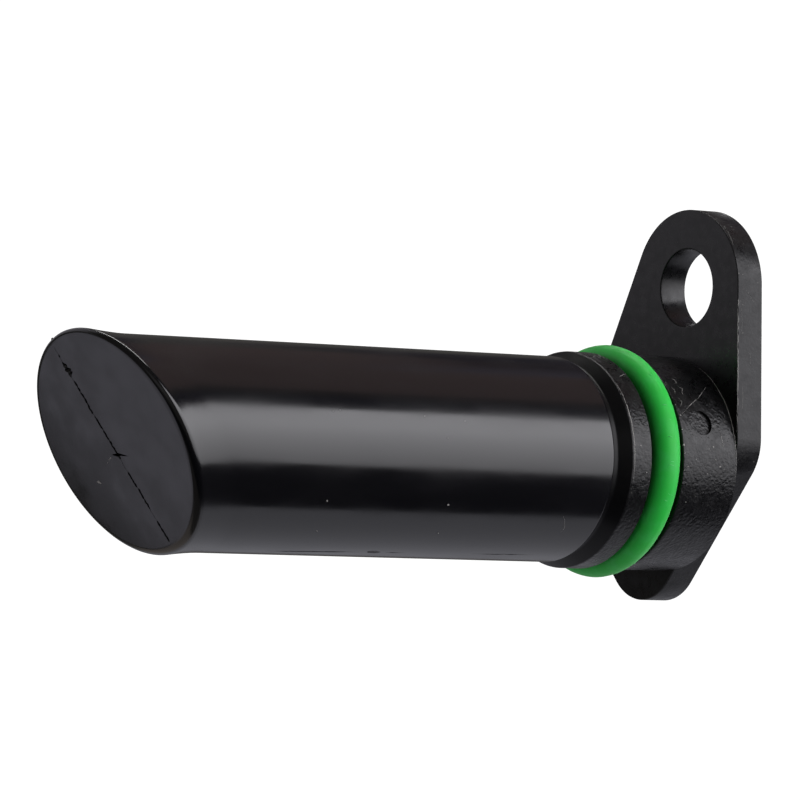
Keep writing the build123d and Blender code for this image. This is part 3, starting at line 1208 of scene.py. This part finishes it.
@dataclass
class FlangePlate:
    """The flat plate with its bolt eye, the lower lobe and the scored rim."""

    thickness: float = 2.9
    bolt_eye: RoundCorner = RoundCorner(-2.67, 15.51, 6.93)
    near_corner: RoundCorner = RoundCorner(-4.6, 2.1, 5.0)
    lower_lobe: RoundCorner = RoundCorner(3.11, -7.48, 4.59)
    far_corner: RoundCorner = RoundCorner(6.0, -0.4, 6.7)
    hole_radius: float = 3.45
    front_round: float = 0.1
    rear_round: float = 0.2
    hole_round: float = 0.12
    hole_segments: int = 128
    segments: int = 288

    def build(self) -> list[Piece]:
        """Makes the plate, the fin along its near edge and its scratches.

        Returns:
            The plate and its marks.
        """
        shape = carve(self.slab(), self.bolt())
        middle = Vector((0.0, self.bolt_eye.y, self.bolt_eye.z))

        def round_the_hole(spot: Vector) -> bool:
            """Says whether an edge lies on the rim of the bolt hole."""
            return (Vector((0.0, spot.y, spot.z)) - middle).length < self.hole_radius + 0.05

        soften_edges(shape, self.hole_round, 3, where=round_the_hole)
        soften_edges(
            shape, self.rear_round, 5,
            where=lambda spot: spot.x > self.thickness - 0.01 and not round_the_hole(spot),
        )
        soften_edges(
            shape, self.front_round, 3, where=lambda spot: spot.x < 0.01 and not round_the_hole(spot)
        )
        for face in shape.faces:
            if abs(face.normal.x) < 0.5 and not round_the_hole(face.calc_center_median()):
                face.material_index = 1
        plate = finish_piece("flange_plate", shape, [SATIN, SCORED], ("flange_housing",))
        return [plate, self.marks()]

    def slab(self) -> Shape:
        """Returns the plate without its hole: a round band pulled tight round the corners.

        Returns:
            The closed slab.
        """
        corners = (self.bolt_eye, self.near_corner, self.lower_lobe, self.far_corner)
        shape = bmesh.new()
        bmesh.ops.create_circle(shape, cap_ends=True, radius=1.0, segments=self.segments, matrix=ACROSS_X)
        for vert in shape.verts:
            way = vert.co.normalized()
            corner = max(corners, key=lambda c: c.reach(way))
            vert.co = Vector((0.0, corner.y, corner.z)) + way * corner.radius
        bmesh.ops.remove_doubles(shape, verts=shape.verts, dist=1e-4)
        draw_out(shape, list(shape.faces), (self.thickness, 0.0, 0.0))
        bmesh.ops.recalc_face_normals(shape, faces=shape.faces)
        return shape

    def bolt(self) -> Shape:
        """Returns the round bar that the bolt hole is cut with."""
        place = Matrix.Translation((self.thickness / 2, self.bolt_eye.y, self.bolt_eye.z))
        return bar(self.hole_radius, 3 * self.thickness, place @ ACROSS_X, self.hole_segments)

    def marks(self) -> Piece:
        """Returns the fin along the near front edge and the scratches beside the bolt eye.

        Returns:
            The marks as one piece.
        """
        face = FlatSkin()
        near_y = self.near_corner.y - self.near_corner.radius
        side = FlatSkin((0.0, near_y, 0.0), (1.0, 0.0, 0.0), (0.0, 0.0, 1.0), (0.0, -1.0, 0.0))
        marks = [
            FineMark(face, ((near_y + 0.04, 14.2), (near_y + 0.03, 8.0), (near_y + 0.05, 2.4)),
                     half_width=0.04, height=0.02, sunk=0.12, unevenness=1.2, step=0.2, seed=11).shape(),
            *strokes(face, (
                (((-8.08, 20.3), (-8.5, 19.7), (-8.9, 19.0)), 0.05, 0.008, 12),
                (((-7.7, 20.7), (-8.0, 20.4)), 0.04, 0.006, 13),
            )),
            *strokes(side, (
                (((0.55, 6.8), (0.6, 5.2), (0.5, 4.0)), 0.04, 0.008, 15),
                (((0.35, 13.6), (0.5, 12.3), (0.42, 11.0)), 0.03, 0.006, 16),
                (((1.2, 9.8), (1.5, 9.2), (1.4, 8.1)), 0.03, 0.006, 17),
                (((0.9, 15.1), (1.9, 13.9)), 0.03, 0.006, 18),
            )),
        ]
        return finish_piece("plate_scratches", merge(marks), [TORN])


@dataclass
class PlugSocket:
    """The elbow behind the plate and the shroud that takes the plug."""

    plate_rear_x: float = 2.8
    middle_x: float = 8.6
    middle_z: float = 2.0
    width: float = 10.5
    height: float = 12.0
    wall: float = 1.3
    corner: float = 2.4
    axis_y: float = 10.5
    floor_y: float = 17.0
    mouth_y: float = 30.0
    lead_in: float = 0.4
    elbow_steps: int = 28
    bead_y: float = 15.4
    bead_length: float = 1.4
    bead_height: float = 0.7
    latch_width: float = 4.0
    latch_height: float = 1.4
    latch_low_y: float = 27.4
    latch_high_y: float = 23.4
    guide_rib: tuple[float, float, float] = (1.0, 1.0, 7.0)
    key_rib: tuple[float, float, float] = (0.8, 1.2, 4.6)
    web_end_y: float = 12.2
    web_height: float = 7.2
    edge_round: float = 0.22

    def build(self) -> list[Piece]:
        """Makes the elbow, the shroud and what stands on them, as one moulding."""
        shapes = [self.elbow_and_shroud(), self.bead(), self.latch(), self.web(), *self.ribs()]
        return [finish_piece("plug_socket", merge(shapes), [SATIN], ("flange_housing",))]

    def section(self, shape: Shape, width: float, height: float, corner: float) -> None:
        """Draws a rounded rectangle in the XY plane, its middle at the origin.

        Args:
            shape: what it is drawn in.
            width: its size along X.
            height: its size along Y.
            corner: the radius of its corners.
        """
        bmesh.ops.create_grid(shape, x_segments=1, y_segments=1, size=0.5)
        bmesh.ops.scale(shape, vec=(width, height, 1.0), verts=shape.verts)
        bmesh.ops.bevel(
            shape, geom=list(shape.verts), offset=corner, offset_type="OFFSET", segments=8,
            profile=0.5, affect="VERTICES", material=-1,
        )

    def elbow_and_shroud(self) -> Shape:
        """Returns the section swept round the elbow, drawn out to the mouth and hollowed.

        Returns:
            The closed moulding.
        """
        shape = bmesh.new()
        self.section(shape, self.width, self.height, self.corner)
        sweep_radius = self.middle_x - self.plate_rear_x
        start = Matrix((
            (0.0, 0.0, 1.0, self.plate_rear_x),
            (-1.0, 0.0, 0.0, self.axis_y - sweep_radius),
            (0.0, 1.0, 0.0, self.middle_z),
            (0.0, 0.0, 0.0, 1.0),
        ))
        bmesh.ops.transform(shape, matrix=start, verts=shape.verts)
        foot = list(shape.faces) + list(shape.edges) + list(shape.verts)
        swept = bmesh.ops.spin(
            shape, geom=foot, cent=(self.plate_rear_x, self.axis_y, 0.0), axis=(0.0, 0.0, 1.0),
            angle=math.pi / 2, steps=self.elbow_steps, use_duplicate=False,
        )["geom_last"]
        end = next(item for item in swept if isinstance(item, Face))
        end = self.push(shape, end, self.mouth_y - self.axis_y)
        bmesh.ops.inset_region(shape, faces=[end], thickness=self.wall - self.lead_in, use_even_offset=True)
        bmesh.ops.inset_region(
            shape, faces=[end], thickness=self.lead_in, depth=-self.lead_in, use_even_offset=True
        )
        self.push(shape, end, self.floor_y - self.mouth_y + self.lead_in)
        bmesh.ops.recalc_face_normals(shape, faces=shape.faces)
        soften_edges(shape, self.edge_round, 3, where=lambda middle: middle.y > self.axis_y)
        return shape

    @staticmethod
    def push(shape: Shape, face: Face, distance: float) -> Face:
        """Draws a face out along Y and returns its new end.

        Args:
            shape: the shape.
            face: its face.
            distance: how far the face goes.

        Returns:
            The face at the new end.
        """
        grown = draw_out(shape, [face], (0.0, distance, 0.0))
        if face.is_valid:
            bmesh.ops.delete(shape, geom=[face], context="FACES_ONLY")
        return next(item for item in grown if isinstance(item, Face))

    def block(self, low: Vector, high: Vector, edge_round: float) -> Shape:
        """Returns a box between two corners with rounded edges.

        Args:
            low: its lowest corner.
            high: its highest corner.
            edge_round: how far the round runs.

        Returns:
            The closed box.
        """
        shape = box(low, high)
        soften_edges(shape, edge_round, 2)
        return shape

    def bead(self) -> Shape:
        """Returns the stop bead round the shroud's root.

        Returns:
            The closed bead.
        """
        shape = bmesh.new()
        grow = 2 * self.bead_height
        self.section(shape, self.width + grow, self.height + grow, self.corner + self.bead_height)
        stand = Matrix((
            (1.0, 0.0, 0.0, self.middle_x),
            (0.0, 0.0, 1.0, self.bead_y),
            (0.0, 1.0, 0.0, self.middle_z),
            (0.0, 0.0, 0.0, 1.0),
        ))
        bmesh.ops.transform(shape, matrix=stand, verts=shape.verts)
        draw_out(shape, list(shape.faces), (0.0, self.bead_length, 0.0))
        bmesh.ops.recalc_face_normals(shape, faces=shape.faces)
        soften_edges(shape, self.edge_round, 3)
        return shape

    def latch(self) -> Shape:
        """Returns the ramp that the plug's latch snaps over.

        Returns:
            The closed ramp.
        """
        rear_x = self.middle_x + self.width / 2
        low = Vector((rear_x - self.wall / 2, self.latch_high_y, self.middle_z - self.latch_width / 2))
        high = Vector((rear_x + self.latch_height, self.latch_low_y, self.middle_z + self.latch_width / 2))
        shape = box(low, high)
        crest = Vector((high.x, self.latch_high_y + self.latch_height / 2, 0.0))
        foot = Vector((rear_x, self.latch_low_y, 0.0))
        uphill = crest - foot
        everything = list(shape.verts) + list(shape.edges) + list(shape.faces)
        cut = bmesh.ops.bisect_plane(
            shape, geom=everything, plane_co=foot, plane_no=(-uphill.y, uphill.x, 0.0), clear_outer=True
        )["geom_cut"]
        rim = [item for item in cut if isinstance(item, Edge)]
        bmesh.ops.contextual_create(shape, geom=rim)
        bmesh.ops.recalc_face_normals(shape, faces=shape.faces)
        soften_edges(shape, self.edge_round / 2, 2, sharper_than=math.radians(15))
        return shape

    def web(self) -> Shape:
        """Returns the web that ties the shroud's root to the back of the plate.

        Returns:
            The closed web.
        """
        front_x = self.middle_x - self.width / 2
        low = Vector((self.plate_rear_x - 0.1, self.axis_y - self.wall, self.middle_z - self.web_height / 2))
        high = Vector((front_x + self.wall / 2, self.web_end_y, self.middle_z + self.web_height / 2))
        return self.block(low, high, self.edge_round / 2)

    def ribs(self) -> list[Shape]:
        """Returns the two guide ribs beside the latch and the two key ribs on the plate's side.

        Returns:
            The four closed ribs.
        """
        start_y = self.bead_y + self.bead_length - 0.1
        made = []
        for side, (rise, thick, apart) in ((1.0, self.guide_rib), (-1.0, self.key_rib)):
            wall_x = self.middle_x + side * self.width / 2
            inner, outer = sorted((wall_x - side * self.wall / 2, wall_x + side * rise))
            for half in (-0.5, 0.5):
                z = self.middle_z + half * apart
                low = Vector((inner, start_y, z - thick / 2))
                high = Vector((outer, self.mouth_y, z + thick / 2))
                made.append(self.block(low, high, self.edge_round / 2))
        return made


@dataclass
class SealRing:
    """The green rubber ring in the gland, with its flash line and fine cross wrinkles."""

    x: float = -7.9
    lean: float = 0.25
    lean_turn: float = math.radians(70)
    centre_radius: float = 8.97
    section_radius: float = 1.25
    section_steps: int = 40
    steps: int = 640
    flash_height: float = 0.03
    flash_angle: float = math.radians(7)
    wrinkle_height: float = 0.012
    wrinkle_mm: float = 0.45
    wave_height: float = 0.03

    def build(self) -> list[Piece]:
        """Makes the ring.

        Returns:
            The ring and its scuffs.
        """
        shape = bmesh.new()
        stand = Matrix.Translation((self.x, self.centre_radius, 0.0))
        bmesh.ops.create_circle(
            shape, cap_ends=False, radius=self.section_radius, segments=self.section_steps, matrix=stand
        )
        bmesh.ops.spin(
            shape, geom=list(shape.verts) + list(shape.edges), cent=(0.0, 0.0, 0.0), axis=(1.0, 0.0, 0.0),
            angle=2 * math.pi, steps=self.steps, use_merge=True, use_duplicate=False,
        )
        bmesh.ops.remove_doubles(shape, verts=shape.verts, dist=1e-4)
        for vert in shape.verts:
            self.weather(vert)
        bmesh.ops.recalc_face_normals(shape, faces=shape.faces)
        return [finish_piece("seal_ring", shape, [RUBBER], ("o_ring",)), self.scuffs()]

    def scuffs(self) -> Piece:
        """Returns the short pale scuffs across the ring's crown.

        Returns:
            The scuffs as one piece.
        """
        crown = RoundSkin(self.centre_radius + self.section_radius - 0.03)
        routes = (
            ((-8.35, -3.2), (-7.9, -3.6), (-7.5, -4.3)), ((-8.2, -1.8), (-7.6, -2.0)),
            ((-8.3, 10.6), (-7.8, 10.1)),
            ((-8.0, 19.6), (-7.5, 18.9)), ((-8.15, 27.3), (-7.55, 26.6)), ((-8.1, -17.5), (-7.5, -18.6)),
            ((-8.3, -21.0), (-7.9, -21.6)), ((-8.0, 46.0), (-7.3, 44.7)), ((-7.7, 55.0), (-7.1, 53.0)),
        )
        marks = [
            FineMark(crown, route, 0.04, 0.03, sunk=0.12, seed=40 + seed).shape()
            for seed, route in enumerate(routes)
        ]
        return finish_piece("seal_ring_scuffs", merge(marks), [SCUFFED])

    def weather(self, vert: Vert) -> None:
        """Moves one point of the ring by its waves, wrinkles and flash line.

        Args:
            vert: the point.
        """
        turn = math.atan2(vert.co.z, vert.co.y)
        spoke = Vector((0.0, math.cos(turn), math.sin(turn)))
        middle = spoke * self.centre_radius + Vector((self.x, 0.0, 0.0))
        outward = (vert.co - middle).normalized()
        flash = max(0.0, 1.0 - abs(math.acos(max(-1.0, min(1.0, outward.dot(spoke))))) / self.flash_angle)
        round_mm = turn * self.centre_radius
        circle = Vector((math.cos(turn), math.sin(turn), 0.0)) * (self.centre_radius / self.wrinkle_mm)
        across = outward.x * 0.8
        patch = max(0.0, ripple(round_mm / 4.0, across, 2.0) + 0.15)
        wrinkle = noise.noise(circle + Vector((0.0, 0.0, across))) * patch * 2.0
        wave = noise.noise(circle * 0.12 + Vector((0.0, 0.0, across * 2.0 + 7.0)))
        vert.co += outward * (
            flash * self.flash_height * 0.5 + wrinkle * self.wrinkle_height + wave * self.wave_height * 0.4
        )
        # it sits a little askew in its groove, against the collar at the top
        vert.co.x += self.lean * (1.0 + math.cos(turn - self.lean_turn))


@dataclass
class InnerParts:
    """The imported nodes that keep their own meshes: terminals, leads and what the carrier holds."""

    wires: tuple[str, ...] = ("supply", "signal", "ground")

    def build(self) -> list[Piece]:
        """Dresses the nodes.

        Returns:
            The dressed nodes.
        """
        dress = {f"terminal_{wire}": TINNED for wire in self.wires}
        dress.update({f"hall_lead_{wire}": TINNED for wire in self.wires})
        dress.update(bias_magnet=NICKEL, pole_disc=STEEL, hall_ic=ERODED, element_carrier=ERODED)
        dress.update(capacitor_supply=CERAMIC, capacitor_ground=CERAMIC)
        dressed = []
        for name, finish in dress.items():
            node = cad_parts[name]
            node.data.materials.clear()
            node.data.materials.append(finish.material())
            dressed.append(node)
        return dressed


@dataclass(frozen=True)
class GlowPanel:
    """A flat diffuser that glows from its front.

    The glow changes from glow_low at one edge to glow_high over the share of its height in ramp.
    """

    name: str
    middle: tuple[float, float, float]
    wide: tuple[float, float, float]
    tall: tuple[float, float, float]
    glow_low: float
    glow_high: float
    ramp: float = 1.0
    tint: str = "#ffffff"

    def build(self) -> None:
        """Makes the panel and hides it from the camera itself."""
        across, up = Vector(self.wide), Vector(self.tall)
        facing = across.cross(up).normalized()
        basis = Matrix((across, up, facing)).transposed().to_4x4()
        shape = bmesh.new()
        shape.loops.layers.uv.new("panel")
        bmesh.ops.create_grid(
            shape, x_segments=1, y_segments=1, size=0.5, matrix=Matrix.Translation(self.middle) @ basis,
            calc_uvs=True,
        )
        panel = link_object(self.name, shape, [self.material()])
        panel.visible_camera = False
        panel.visible_shadow = False

    def material(self) -> Material:
        """Returns the glow, which the back of the panel doesn't have.

        Returns:
            The material.
        """
        made, tree = new_material(self.name)
        where = add_node(tree, "ShaderNodeTexCoord")
        parts = add_node(tree, "ShaderNodeSeparateXYZ", {"Vector": where.outputs["UV"]})
        glow = remap(tree, parts.outputs["Y"], (0.0, self.ramp), (self.glow_low, self.glow_high))
        facing = add_node(tree, "ShaderNodeNewGeometry")
        front = add_node(tree, "ShaderNodeMath", {0: 1.0, 1: facing.outputs["Backfacing"]},
                         operation="SUBTRACT")
        strength = add_node(tree, "ShaderNodeMath", {0: glow, 1: front.outputs[0]}, operation="MULTIPLY")
        light = add_node(tree, "ShaderNodeEmission", {
            "Color": linear(self.tint), "Strength": strength.outputs[0],
        })
        add_node(tree, "ShaderNodeOutputMaterial", {"Surface": light.outputs["Emission"]})
        return made


@dataclass
class Studio:
    """The camera, the pale floor, the dark card, the glowing panels and the dim room."""

    target: tuple[float, float, float] = (-25.26, 0.0, 0.0)
    azimuth: float = math.radians(-38.44)
    elevation: float = math.radians(-2.80)
    roll: float = math.radians(0.449)
    distance: float = 528.4
    off_axis: tuple[float, float] = (-3.775, 4.73)
    focal_pixels: float = 6130.0
    picture_pixels: float = 800.0
    sensor_mm: float = 36.0
    floor_z: float = -62.0
    floor_size: float = 30000.0
    flag_lift: float = 4.0
    flag_corners: tuple[tuple[float, float], ...] = ((-600.0, -165.0), (600.0, -26.5))
    room: str = "#565452"
    room_glow: float = 1.1
    backdrop_glow: float = 1.1
    panels: tuple[GlowPanel, ...] = (
        # the long soft box to the right, whose reflection is the barrel's bright band
        GlowPanel("side_panel", (260.0, -210.0, 88.0), (-580.0, 0.0, 0.0), (0.0, -90.5, 284.0), 1.9, 4.0,
                  ramp=0.5, tint="#fbfaff"),
        # the dim ceiling beside it, seen in the upper part of the barrel
        GlowPanel("ceiling_panel", (320.0, 75.0, 420.0), (-300.0, 0.0, 0.0), (0.0, 570.0, 0.0), 0.32, 0.14,
                  tint="#ffe0de"),
        # the dark gap between the ceiling and the soft box, seen as the line above the bright band
        GlowPanel("gap_shade", (260.0, -262.0, 322.0), (-580.0, 0.0, 0.0), (0.0, 0.0, 170.0), 0.035, 0.06,
                  tint="#cfc6ff"),
        # the darker end of the ceiling, seen along the top of the barrel towards the plate
        GlowPanel("ceiling_shade", (640.0, 345.0, 418.0), (-500.0, 0.0, 0.0), (180.0, 530.0, 0.0), 0.23, 0.05,
                  ramp=0.28, tint="#f0e6ff"),
        # the narrow light straight above, which draws a thin line along the rim
        GlowPanel("top_strip", (80.0, 60.0, 350.0), (-50.0, 0.0, 0.0), (0.0, 380.0, 0.0), 8.0, 8.0),
        # the pale table under the barrel, seen in its lower band
        GlowPanel("table_card", (190.0, 61.7, -58.0), (460.0, 0.0, 0.0), (0.0, 176.5, 0.0), 0.64, 0.3,
                  tint="#f4f4ff"),
        # the pale table to the left, whose edge crosses the slanted face
        GlowPanel("tip_card", (-233.3, 93.6, -58.0), (146.0, -227.0, 0.0), (168.0, 108.0, 0.0), 0.74, 0.74,
                  tint="#f2f0ff"),
        # the card right under the tip, which lights the lower part of its rim
        GlowPanel("rim_card", (-58.0, 44.0, -58.0), (50.0, 0.0, 0.0), (0.0, 70.0, 0.0), 0.45, 0.45,
                  tint="#fff2ea"),
        # the card behind the barrel, which the plate's front mirrors
        GlowPanel("rear_card", (-52.0, 62.0, 53.0), (93.6, 74.4, 0.0), (0.0, 0.0, 80.0), 0.66, 0.66,
                  tint="#faf6ff"),
        # the soft box behind the camera, which fills the shade softly
        GlowPanel("front_panel", (-420.0, -520.0, 190.0), (-400.0, 320.0, 0.0), (0.0, 0.0, 260.0), 0.3, 0.3),
        # the soft box behind the plate, which shows the plug socket
        GlowPanel("back_panel", (420.0, 230.0, 110.0), (120.0, -219.0, 0.0), (0.0, 0.0, 250.0), 3.0, 3.0),
    )

    def build(self) -> None:
        """Sets up the view, the floor, the panels and the room."""
        self.camera()
        self.floor()
        self.dark_flag()
        for panel in self.panels:
            panel.build()
        self.surroundings()
        bpy.context.scene.view_settings.view_transform = "Standard"

    def camera(self) -> None:
        """Stands the camera where the photograph was taken."""
        sine, cosine = math.sin(self.azimuth), math.cos(self.azimuth)
        back = Vector((sine * math.cos(self.elevation), -cosine * math.cos(self.elevation),
                       math.sin(self.elevation)))
        level = Vector((cosine, sine, 0.0))
        upright = back.cross(level)
        right = level * math.cos(self.roll) + upright * math.sin(self.roll)
        up = upright * math.cos(self.roll) - level * math.sin(self.roll)
        place = Vector(self.target) + back * self.distance + right * self.off_axis[0] + up * self.off_axis[1]
        basis = Matrix((right, up, back)).transposed().to_4x4()
        data = bpy.data.cameras.new("view")
        data.sensor_width = self.sensor_mm
        data.lens = self.focal_pixels / self.picture_pixels * self.sensor_mm
        data.clip_start = 0.01
        data.clip_end = 100.0
        camera = bpy.data.objects.new("view", data)
        bpy.context.scene.collection.objects.link(camera)
        camera.matrix_world = Matrix.Translation(place * MM) @ basis
        bpy.context.scene.camera = camera

    def sheet(self, name: str, low: Vector, high: Vector, finish: Finish) -> Piece:
        """Lays one flat sheet of the stage between two corners.

        Args:
            name: its name.
            low: its lowest corner.
            high: its highest corner.
            finish: what it is made of.

        Returns:
            The sheet.
        """
        shape = bmesh.new()
        place = Matrix.Translation((low + high) / 2) @ Matrix.Diagonal((*(high - low).xy, 1.0, 1.0))
        bmesh.ops.create_grid(shape, x_segments=1, y_segments=1, size=0.5, matrix=place)
        laid = link_object(name, shape, [finish.material()])
        return laid

    def floor(self) -> None:
        """Lays the pale floor, which glows so that it meets the white room without a line."""
        half = self.floor_size / 2
        low, high = Vector((-half, -half, self.floor_z)), Vector((half, half, self.floor_z))
        floor = self.sheet("floor", low, high, FLOOR)
        floor.visible_glossy = False
        floor.visible_diffuse = False

    def dark_flag(self) -> None:
        """Lays the black card between table and side panel, whose reflection is the dark band."""
        z = self.floor_z + self.flag_lift
        low, high = (Vector((*corner, z)) for corner in self.flag_corners)
        flag = self.sheet("dark_flag", low, high, BLACK_CARD)
        flag.visible_camera = False
        flag.visible_shadow = False

    def surroundings(self) -> None:
        """Makes the room dim and warm for the sensor, and white behind it."""
        world = bpy.data.worlds.new("room")
        bpy.context.scene.world = world
        world.use_nodes = True
        tree = world.node_tree
        tree.nodes.clear()
        dim = add_node(tree, "ShaderNodeBackground", {"Color": linear(self.room), "Strength": self.room_glow})
        white = add_node(tree, "ShaderNodeBackground", {
            "Color": linear("#ffffff"), "Strength": self.backdrop_glow,
        })
        path = add_node(tree, "ShaderNodeLightPath")
        both = add_node(tree, "ShaderNodeMixShader", {
            0: path.outputs["Is Camera Ray"], 1: dim.outputs[0], 2: white.outputs[0],
        })
        add_node(tree, "ShaderNodeOutputWorld", {"Surface": both.outputs[0]})


def main() -> None:
    """Builds the stage and every sub-assembly."""
    logging.basicConfig(level=logging.INFO, format="%(message)s")
    Studio().build()
    for assembly in (BarrelSleeve(), SealGland(), FlangePlate(), PlugSocket(), SealRing(), InnerParts()):
        for piece in assembly.build():
            LOG.info("%s: %s, %d faces", type(assembly).__name__, piece.name, len(piece.data.polygons))


if __name__ == "__main__":
    main()
